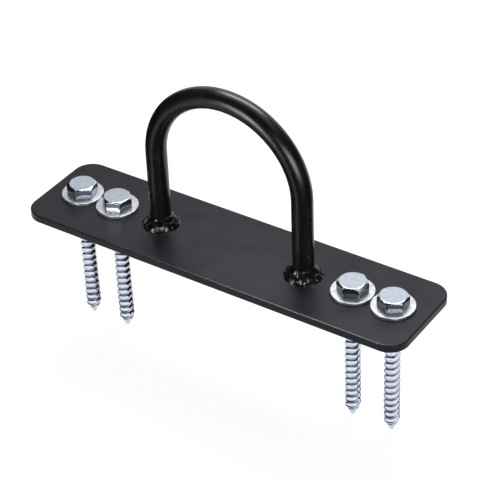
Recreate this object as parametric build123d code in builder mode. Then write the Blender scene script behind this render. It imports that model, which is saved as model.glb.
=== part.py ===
# Battle rope anchor: a steel plate with a welded hoop of round bar, held down by four lag screws.
# The origin is the centre of the plate's back face, X runs along the plate and Z points up
# through the hoop. All sizes are in millimetres.

import os
from math import radians, sqrt, tan

from build123d import *

os.makedirs("parts", exist_ok=True)

# Hoop, bent from one length of round bar.
BAR_DIAMETER = 12.4
HOOP_INNER_WIDTH = 85.0
LEG_STRAIGHT = 49.5

# Fillet weld around each foot of the hoop.
BEAD_SPREAD = 5.4
BEAD_RISE = 7.0
BEAD_CROWN = 0.8

# Base plate. Its length follows from what stands on it, from the hoop out to the ends.
PLATE_WIDTH = 63.0
PLATE_THICKNESS = 4.7
PLATE_CORNER_RADIUS = 11.7
PLATE_EDGE_ROUND = 0.8
BEAD_TO_WASHER = 7.6
WASHER_TO_END = 8.3

# Flat washers, two side by side at each end.
WASHER_DIAMETER = 25.2
WASHER_THICKNESS = 1.8
WASHER_GAP = 0.4

# Lag screws. Their wood thread is drawn plain, at half its depth.
SHANK_DIAMETER = 9.3
SCREW_LENGTH = 89.0
THREAD_LENGTH = 60.0
THREAD_DEPTH = 1.15
TIP_LENGTH = 9.0
POINT_RADIUS = 0.8
HEAD_ACROSS_FLATS = 16.0
HEAD_HEIGHT = 6.4
HEAD_TOP_INSET = 0.5
HEAD_CHAMFER_ANGLE = 30.0
# How far each head is turned, in degrees, from the left end of the plate to the right.
HEAD_TURNS = (43.0, 17.0, 22.0, 34.0)

# Running clearances, on the diameter.
PLATE_HOLE_CLEARANCE = 1.7
WASHER_BORE_CLEARANCE = 1.2

bar_radius = BAR_DIAMETER / 2
bend_radius = HOOP_INNER_WIDTH / 2 + bar_radius
bead_radius = bar_radius + BEAD_SPREAD
screw_spacing = WASHER_DIAMETER + WASHER_GAP
inner_screw_x = bend_radius + bead_radius + BEAD_TO_WASHER + WASHER_DIAMETER / 2
outer_screw_x = inner_screw_x + screw_spacing
plate_length = 2 * (outer_screw_x + WASHER_DIAMETER / 2 + WASHER_TO_END)
screw_xs = (-outer_screw_x, -inner_screw_x, inner_screw_x, outer_screw_x)
plate_top = PLATE_THICKNESS
washer_top = plate_top + WASHER_THICKNESS
shank_radius = SHANK_DIAMETER / 2
thread_radius = shank_radius - THREAD_DEPTH / 2


def upright_plane(x, z):
    """A plane facing the front, whose own axes run right and up from the point (x, 0, z)."""
    return Plane(origin=(x, 0, z), x_dir=(1, 0, 0), z_dir=(0, -1, 0))


# Base plate: cut from flat bar, its front edge eased, with four holes on the centre line.
with BuildPart() as base_plate:
    with BuildSketch():
        RectangleRounded(plate_length, PLATE_WIDTH, PLATE_CORNER_RADIUS)
    extrude(amount=PLATE_THICKNESS)
    front_face = base_plate.faces().sort_by(Axis.Z)[-1]
    fillet(front_face.edges(), radius=PLATE_EDGE_ROUND)
    with Locations(*[(x, 0, plate_top) for x in screw_xs]):
        Hole(radius=(SHANK_DIAMETER + PLATE_HOLE_CLEARANCE) / 2)
base_plate.part.label = "base_plate"
export_step(base_plate.part, "parts/base_plate.step")

# Hoop: one bar, two straight legs and a half round arch. Both ends are sawn square.
with BuildPart() as u_bar:
    with BuildLine(Plane.XZ):
        left_leg = Line((-bend_radius, plate_top), (-bend_radius, plate_top + LEG_STRAIGHT))
        arch = RadiusArc(left_leg @ 1, (bend_radius, plate_top + LEG_STRAIGHT), bend_radius)
        right_leg = Line(arch @ 1, (bend_radius, plate_top))
    with BuildSketch(Plane.XY.offset(plate_top)):
        with Locations((-bend_radius, 0)):
            Circle(bar_radius)
    sweep()
u_bar.part.label = "u_bar"
export_step(u_bar.part, "parts/u_bar.step")


def weld_bead(x):
    """The weld around the foot that stands at x: a ring whose face stands out between its toes."""
    middle = Vector(bar_radius + BEAD_SPREAD / 2, BEAD_RISE / 2)
    outward = Vector(BEAD_RISE, BEAD_SPREAD).normalized()
    crown = middle + outward * BEAD_CROWN
    with BuildPart() as bead:
        with BuildSketch(upright_plane(x, plate_top)):
            with BuildLine():
                Polyline((bar_radius, 0), (bead_radius, 0), crown, (bar_radius, BEAD_RISE), close=True)
            make_face()
        revolve(axis=Axis((x, 0, 0), (0, 0, 1)))
    return bead


for side, foot_x in (("left", -bend_radius), ("right", bend_radius)):
    weld = weld_bead(foot_x)
    weld.part.label = f"weld_bead_{side}"
    export_step(weld.part, f"parts/weld_bead_{side}.step")


def washer(x):
    """A punched flat washer lying on the plate around the hole at x."""
    with BuildPart() as ring:
        with BuildSketch(Plane.XY.offset(plate_top)):
            with Locations((x, 0)):
                Circle(WASHER_DIAMETER / 2)
                Circle((SHANK_DIAMETER + WASHER_BORE_CLEARANCE) / 2, mode=Mode.SUBTRACT)
        extrude(amount=WASHER_THICKNESS)
    return ring


for number, x in enumerate(screw_xs, start=1):
    flat_washer = washer(x)
    flat_washer.part.label = f"washer_{number}"
    export_step(flat_washer.part, f"parts/washer_{number}.step")


def lag_screw(x, turn):
    """A hexagon head lag screw seated on the washer at x, with its head turned by some degrees."""
    with BuildPart() as screw:
        with BuildSketch(Plane.XY.offset(washer_top)):
            with Locations((x, 0)):
                RegularPolygon(HEAD_ACROSS_FLATS / 2, 6, major_radius=False, rotation=turn)
        extrude(amount=HEAD_HEIGHT)
        corner_radius = HEAD_ACROSS_FLATS / sqrt(3) + HEAD_TOP_INSET
        top_radius = HEAD_ACROSS_FLATS / 2 - HEAD_TOP_INSET
        chamfer_drop = (corner_radius - top_radius) * tan(radians(HEAD_CHAMFER_ANGLE))
        with BuildSketch(upright_plane(x, washer_top)):
            with BuildLine():
                Polyline(
                    (0, 0),
                    (corner_radius, 0),
                    (corner_radius, HEAD_HEIGHT - chamfer_drop),
                    (top_radius, HEAD_HEIGHT),
                    (0, HEAD_HEIGHT),
                    close=True,
                )
            make_face()
        revolve(axis=Axis((x, 0, 0), (0, 0, 1)), mode=Mode.INTERSECT)
        with BuildSketch(upright_plane(x, washer_top - SCREW_LENGTH)):
            with BuildLine():
                Polyline(
                    (0, 0),
                    (POINT_RADIUS, 0),
                    (thread_radius, TIP_LENGTH),
                    (thread_radius, THREAD_LENGTH),
                    (shank_radius, THREAD_LENGTH + THREAD_DEPTH / 2),
                    (shank_radius, SCREW_LENGTH),
                    (0, SCREW_LENGTH),
                    close=True,
                )
            make_face()
        revolve(axis=Axis((x, 0, 0), (0, 0, 1)))
    return screw


for number, (x, turn) in enumerate(zip(screw_xs, HEAD_TURNS), start=1):
    screw = lag_screw(x, turn)
    screw.part.label = f"lag_screw_{number}"
    export_step(screw.part, f"parts/lag_screw_{number}.step")

print("plate length", round(plate_length, 2), "screws at", [round(x, 2) for x in screw_xs])
print("hoop top", round(plate_top + LEG_STRAIGHT + bend_radius + bar_radius, 2))
print("screw points at", round(washer_top - SCREW_LENGTH, 2))
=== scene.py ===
# %% [markdown]
# A battle rope anchor is a steel plate with a hoop of round bar welded on its front. Four lag screws,
# each with a flat washer, hold it to a wall or a beam. This lesson dresses its plain solids for a
# studio picture. They are loaded first, as every size below is read from them or set against them.

# %% Load the solids
import math
import random

import bmesh
import bpy
from mathutils import Matrix, Vector, noise


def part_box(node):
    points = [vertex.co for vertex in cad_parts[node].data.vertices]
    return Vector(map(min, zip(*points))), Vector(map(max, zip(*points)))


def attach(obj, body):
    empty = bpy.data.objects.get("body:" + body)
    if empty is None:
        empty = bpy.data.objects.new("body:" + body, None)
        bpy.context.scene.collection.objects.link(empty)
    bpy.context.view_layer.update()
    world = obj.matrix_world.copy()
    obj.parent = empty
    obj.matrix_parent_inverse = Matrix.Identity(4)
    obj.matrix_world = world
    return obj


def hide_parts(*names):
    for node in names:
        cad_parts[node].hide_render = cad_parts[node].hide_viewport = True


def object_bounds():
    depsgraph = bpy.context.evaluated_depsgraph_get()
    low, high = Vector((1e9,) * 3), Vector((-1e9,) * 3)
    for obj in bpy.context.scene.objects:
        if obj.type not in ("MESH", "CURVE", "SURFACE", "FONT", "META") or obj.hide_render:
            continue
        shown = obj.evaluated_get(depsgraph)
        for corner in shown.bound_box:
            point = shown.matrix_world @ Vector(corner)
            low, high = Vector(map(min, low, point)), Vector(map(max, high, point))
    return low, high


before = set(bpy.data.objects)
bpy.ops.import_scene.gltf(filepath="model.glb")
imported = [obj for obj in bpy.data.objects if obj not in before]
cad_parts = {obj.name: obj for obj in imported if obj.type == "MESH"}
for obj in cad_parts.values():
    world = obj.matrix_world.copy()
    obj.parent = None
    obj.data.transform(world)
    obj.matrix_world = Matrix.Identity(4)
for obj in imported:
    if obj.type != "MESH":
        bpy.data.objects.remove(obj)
solid_low, solid_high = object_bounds()
MM = 0.001
print(len(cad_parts), "solids,", round((solid_high.z - solid_low.z) / MM, 1), "mm high")

# %% [markdown]
# The camera stands to the right of the front and looks down at about 36 degrees. A Track To constraint
# could aim it, but three vectors say the same openly: one points back at the camera, one to the right
# of the picture and one up it. The real camera leaned a little, so the last two take a small roll.

# %% Camera
VIEW_AZIMUTH = math.radians(35.08)
VIEW_ELEVATION = math.radians(35.82)
VIEW_ROLL = math.radians(-2.51)
VIEW_DISTANCE = 1080.4 * MM
AIM_RIGHT = -4.92 * MM
AIM_UP = -8.42 * MM
LENS_MM = 142.0
NEAREST_SEEN = 50 * MM

backward = Vector((
    math.sin(VIEW_AZIMUTH) * math.cos(VIEW_ELEVATION),
    -math.cos(VIEW_AZIMUTH) * math.cos(VIEW_ELEVATION),
    math.sin(VIEW_ELEVATION),
))
level = Vector((math.cos(VIEW_AZIMUTH), math.sin(VIEW_AZIMUTH), 0))
upright = backward.cross(level)
picture_right = level * math.cos(VIEW_ROLL) + upright * math.sin(VIEW_ROLL)
picture_up = backward.cross(picture_right)

camera = bpy.data.objects.new("camera", bpy.data.cameras.new("camera"))
camera.data.lens = LENS_MM
camera.data.clip_start = NEAREST_SEEN
camera.rotation_mode = "QUATERNION"
camera.rotation_quaternion = Matrix((picture_right, picture_up, backward)).transposed().to_quaternion()
camera.location = backward * VIEW_DISTANCE - picture_right * AIM_RIGHT - picture_up * AIM_UP
bpy.context.scene.collection.objects.link(camera)
bpy.context.scene.camera = camera
print("camera at", [round(c, 3) for c in camera.location])

# %% [markdown]
# Every piece here is a skin over rings of points: a bar, a washer, a weld and a screw are all round
# things. Blender has cylinders and a Screw modifier, but rings written in a loop can swell, ripple or
# climb as they go round, which a turned shape can't. One helper joins the rings with four-sided faces.

# %% Helpers for skins of rings
def skin(rings, loop=False):
    """The points of the rings, and the faces between neighbours; loop also joins the last to the first."""
    count = len(rings[0])
    points = [point for ring in rings for point in ring]
    pairs = [(k, k + 1) for k in range(len(rings) - 1)]
    if loop:
        pairs.append((len(rings) - 1, 0))
    faces = []
    for low, high in pairs:
        for i in range(count):
            j = (i + 1) % count
            faces.append((low * count + i, low * count + j, high * count + j, high * count + i))
    return points, faces


def circle(centre, radius, z, angles):
    """A level ring of points around a centre."""
    return [Vector((centre + radius * math.cos(a), radius * math.sin(a), z)) for a in angles]


def even_angles(count):
    return [2 * math.pi * k / count for k in range(count)]

# %% [markdown]
# A mesh made from points can hold doubled points and faces that look inward. The next helper merges
# the doubles, turns the faces outward and shades them smoothly, apart from edges sharper than a given
# angle. It then fixes the piece to the only body of this part.

# %% Helper that makes a piece
MERGE = 0.0005 * MM


def add_piece(name, points, faces, material, crease=35):
    mesh = bpy.data.meshes.new(name)
    mesh.from_pydata(points, [], faces)
    shape = bmesh.new()
    shape.from_mesh(mesh)
    bmesh.ops.remove_doubles(shape, verts=shape.verts, dist=MERGE)
    bmesh.ops.dissolve_degenerate(shape, edges=shape.edges, dist=MERGE)
    bmesh.ops.recalc_face_normals(shape, faces=shape.faces)
    open_edges = sum(1 for edge in shape.edges if not edge.is_manifold)
    shape.to_mesh(mesh)
    shape.free()
    mesh.materials.append(material)
    mesh.shade_smooth()
    mesh.set_sharp_from_angle(angle=math.radians(crease))
    piece = bpy.data.objects.new(name, mesh)
    bpy.context.scene.collection.objects.link(piece)
    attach(piece, "root")
    print(name, len(mesh.polygons), "faces,", open_edges, "open edges")
    return piece

# %% [markdown]
# Materials are small node trees. Each starts as a Principled shader, whose fixed numbers are set on
# its own sockets. What varies over a surface comes from noise in object coordinates, because these
# pieces have no unwrapped surface, and because a millimetre stays a millimetre that way. Most noise
# lies between 0.3 and 0.7, so that range is what gets spread over two colours or two roughnesses.

# %% Helpers for materials
NOISE_LOW = 0.3
NOISE_HIGH = 0.7


def new_finish(name, metallic=0.0, specular=0.5):
    """A material with its Principled shader ready: returns the material, a node maker and the shader."""
    material = bpy.data.materials.new(name)
    material.use_nodes = True
    tree = material.node_tree
    shader = tree.nodes["Principled BSDF"]
    shader.inputs["Metallic"].default_value = metallic
    shader.inputs["Specular IOR Level"].default_value = specular

    def node(kind, **inputs):
        made = tree.nodes.new(kind)
        for socket, value in inputs.items():
            target = made.inputs[socket.replace("_", " ")]
            if hasattr(value, "links"):
                tree.links.new(value, target)
            else:
                target.default_value = value
        return made

    return material, node, shader


def grain(node, size, detail=2.0):
    """Noise whose lumps are about this size."""
    place = node("ShaderNodeTexCoord")
    return node("ShaderNodeTexNoise", Vector=place.outputs["Object"], Scale=1 / size, Detail=detail)


def remap(node, value, low, high, to_low, to_high=1.0):
    """A value, taken from the range between low and high to another range."""
    ranges = {"From_Min": low, "From_Max": high, "To_Min": to_low, "To_Max": to_high}
    return node("ShaderNodeMapRange", Value=value, **ranges).outputs["Result"]


def spread(node, value, low, high):
    """A noise value, taken from its usual middle range to low and high."""
    return remap(node, value, NOISE_LOW, NOISE_HIGH, low, high)


def tint(node, value, dark, light):
    """A colour between dark and light, by a noise value."""
    ramp = node("ShaderNodeValToRGB", Fac=value)
    ramp.color_ramp.elements[0].position = NOISE_LOW
    ramp.color_ramp.elements[1].position = NOISE_HIGH
    ramp.color_ramp.elements[0].color = (*dark, 1)
    ramp.color_ramp.elements[1].color = (*light, 1)
    return ramp.outputs["Color"]


def connect(shader, socket, output):
    shader.id_data.links.new(output, shader.inputs[socket])


def add_bump(node, shader, height, strength, distance):
    """Lets a noise value raise and lower the surface, at full strength by this distance."""
    bump = node("ShaderNodeBump", Height=height, Strength=strength, Distance=distance)
    connect(shader, "Normal", bump.outputs["Normal"])

# %% [markdown]
# The plate wears a satin black powder coat. Powder melts into a skin with a fine orange peel, well
# under a millimetre across, so the coat gives a soft, cloudy reflection of the studio. A bump from one
# fine noise makes the peel. A coarser one shifts colour and roughness a little, as uneven powder does.

# %% Powder coat for the plate
plate_coat, node, shader = new_finish("plate_powder_coat", specular=0.175)
shader.inputs["Specular Tint"].default_value = (0.88, 0.86, 1.0, 1)
clouds = grain(node, 14 * MM).outputs["Fac"]
peel = grain(node, 0.55 * MM, detail=3.0).outputs["Fac"]
connect(shader, "Base Color", tint(node, clouds, (0.0062, 0.006, 0.0078), (0.0092, 0.009, 0.0115)))
connect(shader, "Roughness", spread(node, clouds, 0.33, 0.41))
add_bump(node, shader, peel, strength=0.35, distance=0.03 * MM)
print("plate coat has", len(plate_coat.node_tree.nodes), "nodes")

# %% [markdown]
# The hoop has the same black, but on a bar it looks glossier: its round side gathers the lamps into
# long streaks. Its coat is thinner, so its peel is finer and shallower.

# %% Coat for the hoop
hoop_coat, node, shader = new_finish("hoop_coat", specular=0.4)
clouds = grain(node, 9 * MM).outputs["Fac"]
peel = grain(node, 0.4 * MM).outputs["Fac"]
connect(shader, "Base Color", tint(node, clouds, (0.0062, 0.0062, 0.0067), (0.0092, 0.0092, 0.0099)))
connect(shader, "Roughness", spread(node, clouds, 0.25, 0.32))
add_bump(node, shader, peel, strength=0.1, distance=0.02 * MM)
print("hoop coat has", len(hoop_coat.node_tree.nodes), "nodes")

# %% [markdown]
# The weld is under the same coat, which runs together over its lumps and shines more there. Small
# glints sit on the crests, so it is smoother than the bar, with a bump of fine ripples.

# %% Coat over the welds
weld_coat, node, shader = new_finish("weld_coat", specular=0.45)
clouds = grain(node, 3 * MM).outputs["Fac"]
ripple = grain(node, 0.9 * MM, detail=4.0).outputs["Fac"]
connect(shader, "Base Color", tint(node, clouds, (0.003, 0.003, 0.0035), (0.007, 0.007, 0.0075)))
connect(shader, "Roughness", spread(node, clouds, 0.17, 0.33))
add_bump(node, shader, ripple, strength=0.5, distance=0.12 * MM)
print("weld coat has", len(weld_coat.node_tree.nodes), "nodes")

# %% [markdown]
# The screws and washers are zinc plated and clear passivated, which is nearly white with a breath of
# blue. It is a metal, so its colour tints what it mirrors. Plating in a barrel leaves soft clouds and
# tiny dings, so roughness and bump vary. The screws are a shade bluer and shine more. The washers are
# greyer and rougher, and not quite all metal, which stands for the dull skin on punched sheet.
#
# The roots of a thread are dark, because the ridges on both sides hide the room from them. Mirrored
# light alone shows that too weakly in so bright a studio, so that shade is painted into the colour. An
# occlusion node measures how open a point is to its surroundings within 2.6 mm, and the colour gets
# darker where the piece closes in on itself.

# %% Zinc for the screws and washers
GROOVE_REACH = 2.6 * MM
GROOVE_CLOSED = 0.56
GROOVE_OPEN = 0.79
GROOVE_PAINTED_DARK = 0.06


def painted_groove_shade(node, colour):
    """The colour with painted shade: darker where the piece's own surface crowds in, as in a thread's
    root.
    """
    openness = node("ShaderNodeAmbientOcclusion", Distance=GROOVE_REACH)
    openness.only_local = True
    share = remap(node, openness.outputs["AO"], GROOVE_CLOSED, GROOVE_OPEN, GROOVE_PAINTED_DARK)
    return node("ShaderNodeHueSaturation", Value=share, Color=colour).outputs["Color"]


def zinc(name, dark, light, smooth, rough, metallic=1.0):
    finish, node, shader = new_finish(name, metallic=metallic)
    clouds = grain(node, 2.5 * MM, detail=4.0).outputs["Fac"]
    dings = grain(node, 0.7 * MM, detail=3.0).outputs["Fac"]
    # The base colour carries painted shade in the roots of the thread.
    connect(shader, "Base Color", painted_groove_shade(node, tint(node, clouds, dark, light)))
    connect(shader, "Roughness", spread(node, clouds, smooth, rough))
    add_bump(node, shader, dings, strength=0.1, distance=0.02 * MM)
    return finish


screw_zinc = zinc("screw_zinc", (0.51, 0.565, 0.64), (0.56, 0.62, 0.705), 0.12, 0.18)
washer_zinc = zinc("washer_zinc", (0.42, 0.43, 0.455), (0.5, 0.51, 0.535), 0.28, 0.38, metallic=0.75)
print("zinc finishes:", screw_zinc.name, washer_zinc.name)

# %% [markdown]
# The plate's solid already has its true corners, holes and eased front edge, so it stays and only
# takes the powder coat. Its outline could be drawn again and bevelled, but that would add nothing.
# Smooth shading would bend the flat faces beside the rounded edge, and a Weighted Normal modifier
# keeps them flat.

# %% Plate
PLATE_CREASE = math.radians(50)
plate_low, plate_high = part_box("base_plate")
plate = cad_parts["base_plate"]
plate.material_slots[0].material = plate_coat
plate.data.shade_smooth()
plate.data.set_sharp_from_angle(angle=PLATE_CREASE)
even = plate.modifiers.new("even_normals", "WEIGHTED_NORMAL")
even.keep_sharp = True
print("plate", round((plate_high.x - plate_low.x) / MM, 1), "mm long")

# %% [markdown]
# The hoop is one bent bar. A curve with a round bevel would do, but its end caps and its rings are
# hard to control, so rings are set square to the bar's centre line: up one leg, over the arch, down
# the other. Sixty points round the bar keep its outline smooth from close by.

# %% Hoop
hoop_low, hoop_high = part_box("u_bar")
bar_radius = (hoop_high.y - hoop_low.y) / 2
bend_radius = (hoop_high.x - hoop_low.x) / 2 - bar_radius
arch_z = hoop_high.z - bar_radius - bend_radius
AROUND_BAR = even_angles(60)
LEG_RINGS = 12
ARCH_RINGS = 120


def bar_ring(x, z, lean):
    """A ring square to the bar at (x, z); lean is the angle of the bend's radius above the left."""
    outward = Vector((-math.cos(lean), 0, math.sin(lean)))
    return [
        Vector((x, 0, z)) + bar_radius * (math.cos(a) * outward + math.sin(a) * Vector((0, 1, 0)))
        for a in AROUND_BAR
    ]


rings = []
for k in range(LEG_RINGS):
    rings.append(bar_ring(-bend_radius, hoop_low.z + (arch_z - hoop_low.z) * k / LEG_RINGS, 0))
for k in range(ARCH_RINGS + 1):
    lean = math.pi * k / ARCH_RINGS
    rings.append(bar_ring(-bend_radius * math.cos(lean), arch_z + bend_radius * math.sin(lean), lean))
for k in range(LEG_RINGS - 1, -1, -1):
    rings.append(bar_ring(bend_radius, hoop_low.z + (arch_z - hoop_low.z) * k / LEG_RINGS, math.pi))
points, faces = skin(rings)
last = len(points) - len(AROUND_BAR)
faces.append(tuple(range(len(AROUND_BAR))))
faces.append(tuple(range(last, len(points))))
hoop = add_piece("hoop", points, faces, hoop_coat)
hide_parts("u_bar")
print("bar", round(2 * bar_radius / MM, 1), "mm, bend radius", round(bend_radius / MM, 1), "mm")

# %% [markdown]
# A weld bead is a row of puddles that froze one over the next, washed up the bar and out on the plate.
# Sculpting would give the lumps, but not the same ones each time. Here a plain sloping ring is pushed
# out by many round lumps at seeded places: big ones for the puddles, small ones for ripples on them.
# Each has a place from 0 at the toe to 1 at the crown, and a size and a height in millimetres.

# %% Lumps of the welds
PUDDLES = 11
PUDDLE_SHIFT = 0.25
PUDDLE_PLACE = (0.25, 0.65)
PUDDLE_SIZE = (2.2, 3.4)
PUDDLE_HEIGHT = (0.5, 1.0)
RIPPLES = 34
RIPPLE_PLACE = (0.0, 1.0)
RIPPLE_SIZE = (0.9, 1.7)
RIPPLE_HEIGHT = (0.2, 0.5)


def lumps(seed):
    """The angle around the ring, the place from toe to crown, the size and the height of each lump."""
    chance = random.Random(seed)
    found = []
    for k in range(PUDDLES):
        angle = 2 * math.pi * (k + chance.uniform(-PUDDLE_SHIFT, PUDDLE_SHIFT)) / PUDDLES
        size = chance.uniform(*PUDDLE_SIZE) * MM
        found.append((angle, chance.uniform(*PUDDLE_PLACE), size, chance.uniform(*PUDDLE_HEIGHT) * MM))
    for k in range(RIPPLES):
        angle = chance.uniform(0, 2 * math.pi)
        size = chance.uniform(*RIPPLE_SIZE) * MM
        found.append((angle, chance.uniform(*RIPPLE_PLACE), size, chance.uniform(*RIPPLE_HEIGHT) * MM))
    return found


print("a weld has", PUDDLES, "puddles and", RIPPLES, "ripples")

# %% [markdown]
# Where lumps overlap, the tallest counts, as a later puddle covers an earlier one. Adding them up
# would make hills on hills. A slow noise lets the surface wander. The toe and the crown are pushed
# least, so the weld runs out low on the plate and thin on the bar, and it is a little hollow between.

# %% Skin of a weld
AROUND_BEAD = even_angles(180)
ACROSS_BEAD = 26
TOE_REACH = 0.97
CROWN_RISE = 0.93
HOLLOW = 1.25
SEAT = 0.15 * MM
WANDER = 0.35 * MM
WANDER_AROUND = 3
WANDER_ACROSS = 2
LEAST_SWELL = 0.35
SWELL_START = 0.12
SWELL_SPAN = 0.8


def tallest_lump(found, angle, share, radius, slope):
    """How far the tallest lump over a point pushes it out."""
    push = 0.0
    for lump_angle, lump_share, size, amount in found:
        along = (angle - lump_angle + math.pi) % (2 * math.pi) - math.pi
        distance = math.hypot(along * radius, (share - lump_share) * slope)
        if distance < size:
            push = max(push, amount * math.sqrt(1 - (distance / size) ** 2))
    return push


def wander(angle, share, seed):
    """The slow noise over a weld; the seed moves it to another part of the noise."""
    x = math.cos(angle) * WANDER_AROUND
    y = math.sin(angle) * WANDER_AROUND
    return WANDER * noise.noise(Vector((x, y, share * WANDER_ACROSS + seed)))


def swell(share):
    """What is left of a push at a place between toe and crown."""
    middle = math.sin(math.pi * min(1, SWELL_START + share * SWELL_SPAN))
    return LEAST_SWELL + (1 - LEAST_SWELL) * middle


def bead_points(node_name, seed):
    """Rings from the toe on the plate to the crown on the bar, then the two hidden sides."""
    low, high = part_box(node_name)
    centre = (low.x + high.x) / 2
    reach = (high.x - low.x) / 2 - bar_radius
    rise = high.z - low.z
    slope = math.hypot(reach, rise)
    outward = Vector((rise, reach)).normalized()
    found = lumps(seed)
    rings = []
    for row in range(ACROSS_BEAD + 1):
        share = row / ACROSS_BEAD
        radius = bar_radius + reach * (1 - share) * TOE_REACH
        height = rise * share ** HOLLOW * CROWN_RISE
        ring = []
        for angle in AROUND_BEAD:
            push = tallest_lump(found, angle, share, radius, slope) + wander(angle, share, seed)
            push *= swell(share)
            r = radius + outward.x * push
            z = low.z + max(0, height + outward.y * push)
            ring.append(Vector((centre + r * math.cos(angle), r * math.sin(angle), z)))
        rings.append(ring)
    inner = bar_radius - SEAT
    lip = circle(centre, inner, low.z, AROUND_BEAD)
    for point, crown in zip(lip, rings[-1]):
        point.z = crown.z
    rings.append(lip)
    rings.append(circle(centre, inner, low.z - SEAT, AROUND_BEAD))
    rings.append([Vector((p.x, p.y, low.z - SEAT)) for p in rings[0]])
    return rings

# %% Both welds
for side, seed in (("left", 4), ("right", 9)):
    points, faces = skin(bead_points(f"weld_bead_{side}", seed), loop=True)
    bead = add_piece(f"weld_{side}", points, faces, weld_coat, crease=80)
    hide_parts(f"weld_bead_{side}")

# %% [markdown]
# A washer is punched from sheet. The punch rounds the rim on the side that it enters and leaves the
# other nearly sharp, and these lie with the round side up. A cylinder with a bevel could do, but one
# section of radius and height, carried round as rings, gives each edge its own size.

# %% Washers
WASHER_BORE = 5.25 * MM
RIM_ROUND = 0.38 * MM
RIM_STEPS = 8
FOOT_BEVEL = 0.15 * MM
BORE_BEVEL = 0.3 * MM
AROUND_WASHER = even_angles(120)


def washer_rings(low, high):
    centre = (low.x + high.x) / 2
    radius = (high.x - low.x) / 2
    section = [(WASHER_BORE, low.z), (radius - FOOT_BEVEL, low.z), (radius, low.z + FOOT_BEVEL)]
    for k in range(RIM_STEPS + 1):
        a = math.pi / 2 * k / RIM_STEPS
        section.append((radius - RIM_ROUND * (1 - math.cos(a)), high.z - RIM_ROUND * (1 - math.sin(a))))
    section += [(WASHER_BORE + BORE_BEVEL, high.z), (WASHER_BORE, high.z - BORE_BEVEL)]
    return [circle(centre, r, z, AROUND_WASHER) for r, z in section]


for number in range(1, 5):
    low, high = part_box(f"washer_{number}")
    points, faces = skin(washer_rings(low, high), loop=True)
    ring = add_piece(f"flat_washer_{number}", points, faces, washer_zinc, crease=40)
    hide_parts(f"washer_{number}")

# %% [markdown]
# A lag screw is one piece: a hexagon head, a plain shank and a coarse wood thread that runs out to a
# point. A thread could be cut with a Screw modifier, but its ends would need closing by hand. Instead
# each row of points climbs one pitch as it goes round, so that the crest is a true helix, and the
# ridge's height fades out at both ends.
#
# The columns of points also have to serve the head, so they crowd at its six corners, which are
# slightly round.

# %% Columns around a screw
HEAD_ACROSS_FLATS = 16.0 * MM
CORNER_ROUND = 0.6 * MM
CORNER_STEPS = (-1.9, -0.95, 0.0, 0.95, 1.9)
FLAT_STEPS = (7.0, 14.0, 22.0, 30.0, 38.0, 46.0, 53.0)
HALF_SIDE = math.radians(30)
columns = [math.radians(60 * side + step) for side in range(6) for step in CORNER_STEPS + FLAT_STEPS]


def hexagon_reach(angle):
    """How far the head reaches at an angle from one of its corners."""
    flat = HEAD_ACROSS_FLATS / 2
    off_corner = (angle + HALF_SIDE) % (2 * HALF_SIDE) - HALF_SIDE
    middle = (flat - CORNER_ROUND) / math.cos(HALF_SIDE)
    across = middle * math.sin(off_corner)
    if abs(across) < CORNER_ROUND * math.sin(HALF_SIDE):
        return middle * math.cos(off_corner) + math.sqrt(CORNER_ROUND ** 2 - across ** 2)
    return flat / math.cos(HALF_SIDE - abs(off_corner))


print(len(columns), "columns, reach at a corner", round(hexagon_reach(0) / MM, 2), "mm")

# %% [markdown]
# The thread's section over one pitch is a curve of points: how far from the crest, in millimetres, and
# what share of the ridge's full height. A triangle would be simpler, but a rolled ridge is round, so
# the height falls off with a power of the distance. The core narrows to the point over the last 7.5
# millimetres, and swells to the shank where the thread ends.

# %% Thread of a screw
PITCH = 4.5 * MM
SHANK_RADIUS = 4.65 * MM
THREAD_DEPTH = 1.5 * MM
THREAD_LENGTH = 60 * MM
TIP_LENGTH = 7.5 * MM
POINT_RADIUS = 1.0 * MM
POINT_POWER = 0.6
SHANK_SWELL = 1.5 * MM
RIDGE_START = 2 * MM
RIDGE_GROWTH = 4 * MM
RUNOUT = 5 * MM
RIDGE_HALF = 2.2
RIDGE_POWER = 2.1
RIDGE_STEPS = 14
TURNS_BELOW = 2
SPARE_TURNS = 3
RIDGE = []
for k in range(RIDGE_STEPS + 1):
    across = 2 * k / RIDGE_STEPS - 1
    RIDGE.append((RIDGE_HALF * across, 1 - abs(across) ** RIDGE_POWER))


def ease(share):
    """From 0 to 1 with a soft start and a soft end."""
    share = min(1, max(0, share))
    return share * share * (3 - 2 * share)


def core_radius(height):
    """The core's radius at a height above the point."""
    root = SHANK_RADIUS - THREAD_DEPTH
    if height < TIP_LENGTH:
        return POINT_RADIUS + (root - POINT_RADIUS) * (height / TIP_LENGTH) ** POINT_POWER
    return root + THREAD_DEPTH * ease((height - THREAD_LENGTH + SHANK_SWELL) / SHANK_SWELL)


def ridge_height(height):
    """How tall the ridge is at a height above the point."""
    grown = ease((height - RIDGE_START) / RIDGE_GROWTH)
    return THREAD_DEPTH * grown * ease((THREAD_LENGTH - height) / RUNOUT)


def thread_grid(centre, turn, tip_z):
    """Rows that climb one pitch each time round, held between the point and the end of the thread."""
    turns = math.ceil(THREAD_LENGTH / PITCH) + SPARE_TURNS
    rows = []
    for step in range(turns):
        for offset, share in RIDGE:
            row = []
            for angle in columns:
                height = (step - TURNS_BELOW + angle / (2 * math.pi)) * PITCH + offset * MM
                height = min(THREAD_LENGTH, max(0, height))
                radius = core_radius(height) + share * ridge_height(height)
                across = radius * math.cos(angle + turn)
                row.append((centre + across, radius * math.sin(angle + turn), tip_z + height))
            rows.append(row)
    return rows


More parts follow.
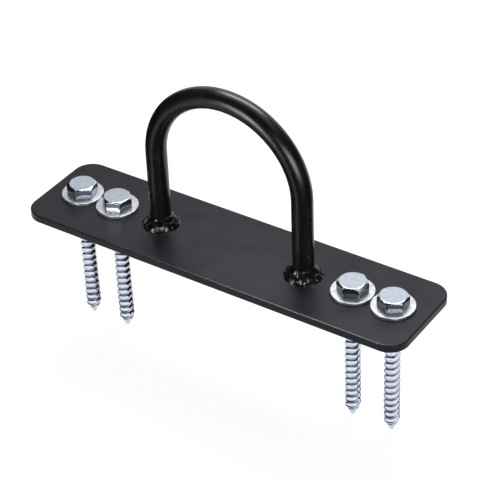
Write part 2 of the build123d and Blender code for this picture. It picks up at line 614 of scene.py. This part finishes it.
def thread_skin(rows):
    """Faces between rows. Across the seam a row meets the one a whole turn above it."""
    count = len(columns)
    points = [point for row in rows for point in row]
    faces = []
    for low in range(len(rows) - 1):
        first = low * count
        for i in range(first, first + count - 1):
            faces.append((i, i + 1, i + count + 1, i + count))
        above = (low + len(RIDGE)) * count
        if above + count < len(points):
            last = first + count - 1
            faces.append((last, above, above + count, last + count))
    return points, faces


print("thread of", round(THREAD_LENGTH / PITCH, 1), "turns,", len(RIDGE), "rows a turn")

# %% [markdown]
# The head is a hexagon whose top is turned to a 30 degree chamfer, so each side ends in an arch. Its
# section is worked out at each angle: a small bevel under the head, the side, the arch where the cone
# cuts the side, and the flat top. Both upper edges are slightly round, and the inner one catches a
# thin white line from the box above, so it gets several points and not just one cut.

# %% Head of a screw
HEAD_HEIGHT = 6.4 * MM
HEAD_TOP_RADIUS = 7.5 * MM
CHAMFER = math.tan(math.radians(30))
SIDE_ROUND = 0.12 * MM
TOP_ROUND = 0.22 * MM
CORNER_POINTS = 4
SEAT_BEVEL_IN = 0.35 * MM
SEAT_BEVEL_UP = 0.2 * MM
CENTRE_SHARE = 0.02
TOP_SHARES = (0.08, 0.5)


def rounded(before, corner, after, size):
    """Points that round a corner of a section; they begin and end at this size from it."""
    start = corner + (before - corner).normalized() * size
    end = corner + (after - corner).normalized() * size
    shares = [k / CORNER_POINTS for k in range(CORNER_POINTS + 1)]
    return [start.lerp(corner, t).lerp(corner.lerp(end, t), t) for t in shares]


def head_section(angle):
    """Radius and height over the head at an angle, from the seat up its side and in over the top."""
    reach = hexagon_reach(angle)
    seat = Vector((reach, SEAT_BEVEL_UP))
    arch = Vector((reach, HEAD_HEIGHT - (reach - HEAD_TOP_RADIUS) * CHAMFER))
    top = Vector((HEAD_TOP_RADIUS, HEAD_HEIGHT))
    middle = Vector((HEAD_TOP_RADIUS * CENTRE_SHARE, HEAD_HEIGHT))
    section = [Vector((SHANK_RADIUS, 0)), Vector((reach - SEAT_BEVEL_IN, 0)), seat]
    section += rounded(seat, arch, top, SIDE_ROUND)
    section += rounded(arch, top, middle, TOP_ROUND)
    section += [top.lerp(middle, share) for share in TOP_SHARES]
    section.append(middle)
    return section


def head_rings(centre, turn, seat_z):
    sections = [head_section(angle) for angle in columns]
    rings = []
    for row in zip(*sections):
        rings.append([
            Vector((centre + p.x * math.cos(a + turn), p.x * math.sin(a + turn), seat_z + p.y))
            for p, a in zip(row, columns)
        ])
    return rings

# %% [markdown]
# Each screw is put together from its thread, its shank and its head. Their rings share the same
# columns, so the seams close when doubled points merge. The heads are turned differently, because
# nobody stops four screws at the same angle.

# %% Screws
HEAD_TURNS = (43.0, 17.0, 22.0, 34.0)


def join(first, second):
    """Two sets of points and faces as one."""
    shift = len(first[0])
    return first[0] + second[0], first[1] + [tuple(i + shift for i in face) for face in second[1]]


for number, degrees in enumerate(HEAD_TURNS, start=1):
    low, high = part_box(f"lag_screw_{number}")
    centre = sum(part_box(f"washer_{number}")[k].x for k in (0, 1)) / 2
    seat_z = high.z - HEAD_HEIGHT
    turn = math.radians(degrees)
    body = thread_skin(thread_grid(centre, turn, low.z))
    shank_angles = [a + turn for a in columns]
    upper = [circle(centre, SHANK_RADIUS, low.z + THREAD_LENGTH, shank_angles)]
    upper += head_rings(centre, turn, seat_z)
    points, faces = join(body, skin(upper))
    count = len(columns)
    faces.append(tuple(range(len(points) - count, len(points))))
    points_low = len(points)
    points += circle(centre, POINT_RADIUS, low.z, shank_angles)
    faces.append(tuple(range(points_low, points_low + count)))
    screw = add_piece(f"screw_{number}", points, faces, screw_zinc, crease=32)
    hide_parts(f"lag_screw_{number}")

# %% [markdown]
# The background of a product picture is white. Lighting a floor until it burns out would also burn out
# the bright metal, so the floor glows instead, for rays from the camera and for rays that a mirror or
# a glass sends on. All other light sees plain grey paper, and the object's soft shadow stays.

# %% Rays that see the background
def sees_background(tree):
    """A node whose output is 1 for a ray from the camera, a mirror or a glass, and 0 for any other."""
    path = tree.nodes.new("ShaderNodeLightPath")
    total = path.outputs["Is Camera Ray"]
    for kind in ("Is Glossy Ray", "Is Transmission Ray"):
        either = tree.nodes.new("ShaderNodeMath")
        either.operation = "MAXIMUM"
        tree.links.new(total, either.inputs[0])
        tree.links.new(path.outputs[kind], either.inputs[1])
        total = either.outputs[0]
    return total

# %% Floor
FLOOR_HALF = 3.0
FLOOR_WHITE = 0.22
FLOOR_GLOW = 0.9


def floor_paper():
    paper = bpy.data.materials.new("floor_paper")
    paper.use_nodes = True
    tree = paper.node_tree
    shader = tree.nodes["Principled BSDF"]
    shader.inputs["Base Color"].default_value = (FLOOR_WHITE, FLOOR_WHITE, FLOOR_WHITE, 1)
    shader.inputs["Roughness"].default_value = 0.9
    shader.inputs["Specular IOR Level"].default_value = 0.0
    glow = tree.nodes.new("ShaderNodeMath")
    glow.operation = "MULTIPLY"
    glow.inputs[1].default_value = FLOOR_GLOW
    tree.links.new(sees_background(tree), glow.inputs[0])
    shader.inputs["Emission Color"].default_value = (1, 1, 1, 1)
    tree.links.new(glow.outputs[0], shader.inputs["Emission Strength"])
    return paper


mesh = bpy.data.meshes.new("floor")
corners = [(-1, -1), (1, -1), (1, 1), (-1, 1)]
mesh.from_pydata([(x * FLOOR_HALF, y * FLOOR_HALF, solid_low.z) for x, y in corners], [], [(0, 1, 2, 3)])
mesh.materials.append(floor_paper())
floor = bpy.data.objects.new("floor", mesh)
bpy.context.scene.collection.objects.link(floor)
print("floor at", round(solid_low.z / MM, 1), "mm")

# %% [markdown]
# Past the floor lies the world. It is pure white for the same rays, and for all other light it is an
# even fill of 0.4 of that strength, so that no side of the object falls into black.

# %% World
FILL = 0.4
world = bpy.data.worlds.new("studio")
bpy.context.scene.world = world
world.use_nodes = True
tree = world.node_tree
room = tree.nodes["Background"]
room.inputs["Color"].default_value = (1, 1, 1, 1)
strength = tree.nodes.new("ShaderNodeMapRange")
strength.inputs["To Min"].default_value = FILL
strength.inputs["To Max"].default_value = 1.0
tree.links.new(sees_background(tree), strength.inputs["Value"])
tree.links.new(strength.outputs["Result"], room.inputs["Strength"])
print("world fill", FILL)

# %% [markdown]
# Black and bright metal show little but reflections, so a photographer draws them with soft boxes and
# black cards. A box above and behind lights the part and lays a streak on the hoop, and two strips in
# front, for mirror rays alone, lay thin ones. A far lamp is placed by a compass direction, a height
# angle and a distance, because a reflection is planned that way. A near one is placed in metres.

# %% Soft boxes
BOX_FAR = 1.1


def stand(direction, height, distance):
    """A place around the object: 0 degrees is to the right along X, 90 is behind."""
    d = math.radians(direction)
    h = math.radians(height)
    return distance * Vector((math.cos(d) * math.cos(h), math.sin(d) * math.cos(h), math.sin(h)))


def softbox(name, place, width, height, glow, only_mirrored=False):
    """An area lamp aimed at the object; glow is its brightness, where 1 is white."""
    lamp = bpy.data.lights.new(name, "AREA")
    lamp.shape = "RECTANGLE"
    lamp.size = width
    lamp.size_y = height
    lamp.energy = glow * math.pi * width * height
    holder = bpy.data.objects.new(name, lamp)
    holder.location = place
    holder.rotation_mode = "QUATERNION"
    holder.rotation_quaternion = (-place).to_track_quat("-Z", "Y")
    holder.visible_diffuse = not only_mirrored
    bpy.context.scene.collection.objects.link(holder)
    print(name, round(lamp.energy, 1), "W")
    return holder


softbox("box_behind", stand(108, 62, BOX_FAR), 0.8, 0.34, 13)
softbox("strip_front_left", Vector((-0.07, -0.285, 0.085)), 0.10, 0.16, 12, only_mirrored=True)
softbox("strip_front_right", stand(322, 12, BOX_FAR), 0.62, 0.44, 9, only_mirrored=True)

# %% [markdown]
# The plate's rounded front edge has a pale line, which needs a bright box close in front. The hoop's
# crown and the welds would mirror that box too, and they show no such spot. A photographer would hide
# it from them with small flags. Light linking does that here: the lamp reaches only the pieces in its
# own collection, and that holds the plate alone.

# %% Light for the plate's front edge
edge_light = softbox("edge_light", Vector((-0.052, -0.1, 0.30)), 0.13, 0.14, 70, only_mirrored=True)
plate_only = bpy.data.collections.new("plate_only")
plate_only.objects.link(plate)
edge_light.light_linking.receiver_collection = plate_only

# %% [markdown]
# Against a white background, black paint would turn grey and bright metal would lose its edges. Black
# cards around the object cure that: a curved one on each side and in front, with gaps where the bar
# should catch a pale line. Cards are there for mirror rays alone: the camera doesn't see them, and
# they shade nothing. A paper is a card that glows, as a lit sheet does.

# %% Cards
CARD_STEPS = 12
WALL_FAR = 1.5
LOW_HEIGHTS = (-4, 55)
HIGH_HEIGHTS = (55, 86)
ALL_HEIGHTS = (-4, 86)


def card_material(name, base, glow, green=1.0):
    material, node, shader = new_finish(name, specular=0.0)
    shader.inputs["Base Color"].default_value = (base, base, base, 1)
    shader.inputs["Roughness"].default_value = 1.0
    shader.inputs["Emission Color"].default_value = (1, green, 1, 1)
    shader.inputs["Emission Strength"].default_value = glow
    return material


black_felt = card_material("black_felt", 0.012, 0.0)
grey_paper = card_material("grey_paper", 0.0, 0.8)
white_paper = card_material("white_paper", 0.0, 1.3, green=0.93)


def card(name, material, place, across, up):
    """A card over a range in two directions; place gives the point for one value of each."""
    points = []
    for i in range(CARD_STEPS + 1):
        for j in range(CARD_STEPS + 1):
            a = across[0] + (across[1] - across[0]) * i / CARD_STEPS
            b = up[0] + (up[1] - up[0]) * j / CARD_STEPS
            points.append(place(a, b))
    faces = []
    for i in range(CARD_STEPS):
        for j in range(CARD_STEPS):
            corner = i * (CARD_STEPS + 1) + j
            faces.append((corner, corner + 1, corner + CARD_STEPS + 2, corner + CARD_STEPS + 1))
    mesh = bpy.data.meshes.new(name)
    mesh.from_pydata(points, [], faces)
    mesh.materials.append(material)
    sheet = bpy.data.objects.new(name, mesh)
    sheet.visible_camera = False
    sheet.visible_diffuse = False
    sheet.visible_shadow = False
    sheet.visible_transmission = False
    bpy.context.scene.collection.objects.link(sheet)
    print(name, "of", material.name)


def wall(direction, height):
    return stand(direction, height, WALL_FAR)


card("card_left", black_felt, wall, (139, 237), LOW_HEIGHTS)
card("card_right", black_felt, wall, (-20, 72), LOW_HEIGHTS)
card("card_front", black_felt, wall, (237, 340), ALL_HEIGHTS)
card("card_above_left", black_felt, wall, (205, 237), HIGH_HEIGHTS)

# %% [markdown]
# The hoop and the screws want opposite things. What stands on the plate is darkest when all below it
# is black, and the screws are brightest when all in front of them is white. The plate lies between
# the two, so a level apron goes round it: black above, and white below in front and at the right.
# Behind, it is cut into two sectors, and the gap between them draws a pale line along each leg of the
# hoop. On the front apron two strips of grey paper, seen from the feet, give each leg a soft streak.

# %% Apron around the plate
EDGE_ROUND = 0.8 * MM
APRON_Z = plate_high.z - EDGE_ROUND
APRON_FAR = 1.4
APRON_GAP = 1 * MM
PAPER_GAP = 0.5 * MM
BACK_RIGHT = (2, 57)
BACK_LEFT = (118, 178)
STREAK = (237, 261)
STREAK_FAR = 0.4
edge_x = plate_high.x + APRON_GAP
edge_y = plate_high.y + APRON_GAP


def apron(x, y):
    return Vector((x, y, APRON_Z))


def apron_below(x, y):
    return Vector((x, y, APRON_Z - PAPER_GAP))


def apron_sector(foot_x, lift=0.0):
    """Places at about the apron's level, by direction from a foot of the hoop and by depth."""
    def place(direction, y):
        return Vector((foot_x + y / math.tan(math.radians(direction)), y, APRON_Z + lift))

    return place


card("apron_front", black_felt, apron, (-APRON_FAR, APRON_FAR), (-APRON_FAR, -edge_y))
card("apron_left", black_felt, apron, (-APRON_FAR, -edge_x), (-edge_y, edge_y))
card("apron_right", black_felt, apron, (edge_x, APRON_FAR), (-edge_y, edge_y))
card("apron_back_right", black_felt, apron_sector(bend_radius), BACK_RIGHT, (edge_y, APRON_FAR))
card("apron_back_left", black_felt, apron_sector(-bend_radius), BACK_LEFT, (edge_y, APRON_FAR))
card("apron_below", white_paper, apron_below, (-APRON_FAR, APRON_FAR), (-APRON_FAR, -edge_y))
card("apron_below_right", white_paper, apron_below, (edge_x, APRON_FAR), (-edge_y, edge_y))
below_sector = apron_sector(bend_radius, -PAPER_GAP)
card("apron_below_back_right", white_paper, below_sector, BACK_RIGHT, (edge_y, APRON_FAR))
for side, foot_x in (("left", -bend_radius), ("right", bend_radius)):
    above_sector = apron_sector(foot_x, PAPER_GAP)
    card(f"apron_streak_{side}", grey_paper, above_sector, STREAK, (-edge_y, -STREAK_FAR))

# %% [markdown]
# Under each pair of screws two black cards draw the dark lower side of each ridge of the thread. The
# gap between them runs below the screws, so the last turns and the points still mirror the white
# floor. One grey paper stands behind the left end, where the two left heads mirror it: their tops
# are darker than those of the right ones.

# %% Cards for the screws and the left heads
UNDER_LIFT = 6 * MM
UNDER_FRONT = (-22 * MM, -5 * MM)
UNDER_BACK = (5 * MM, 50 * MM)
UNDER_LEFT = (-130 * MM, -48 * MM)
UNDER_RIGHT = (62 * MM, 148 * MM)
HEAD_CARD_Y = 200 * MM


def on_floor(x, y):
    return Vector((x, y, solid_low.z + UNDER_LIFT))


def behind_left(x, z):
    return Vector((x, HEAD_CARD_Y, z))


for side, span in (("left", UNDER_LEFT), ("right", UNDER_RIGHT)):
    card(f"card_under_{side}", black_felt, on_floor, span, UNDER_FRONT)
    card(f"card_under_back_{side}", black_felt, on_floor, span, UNDER_BACK)
card("card_near_left", grey_paper, behind_left, (-380 * MM, -160 * MM), (10 * MM, 340 * MM))

# %% [markdown]
# The Standard view transform keeps colours as they are written.

# %% Finish
bpy.context.scene.view_settings.view_transform = "Standard"
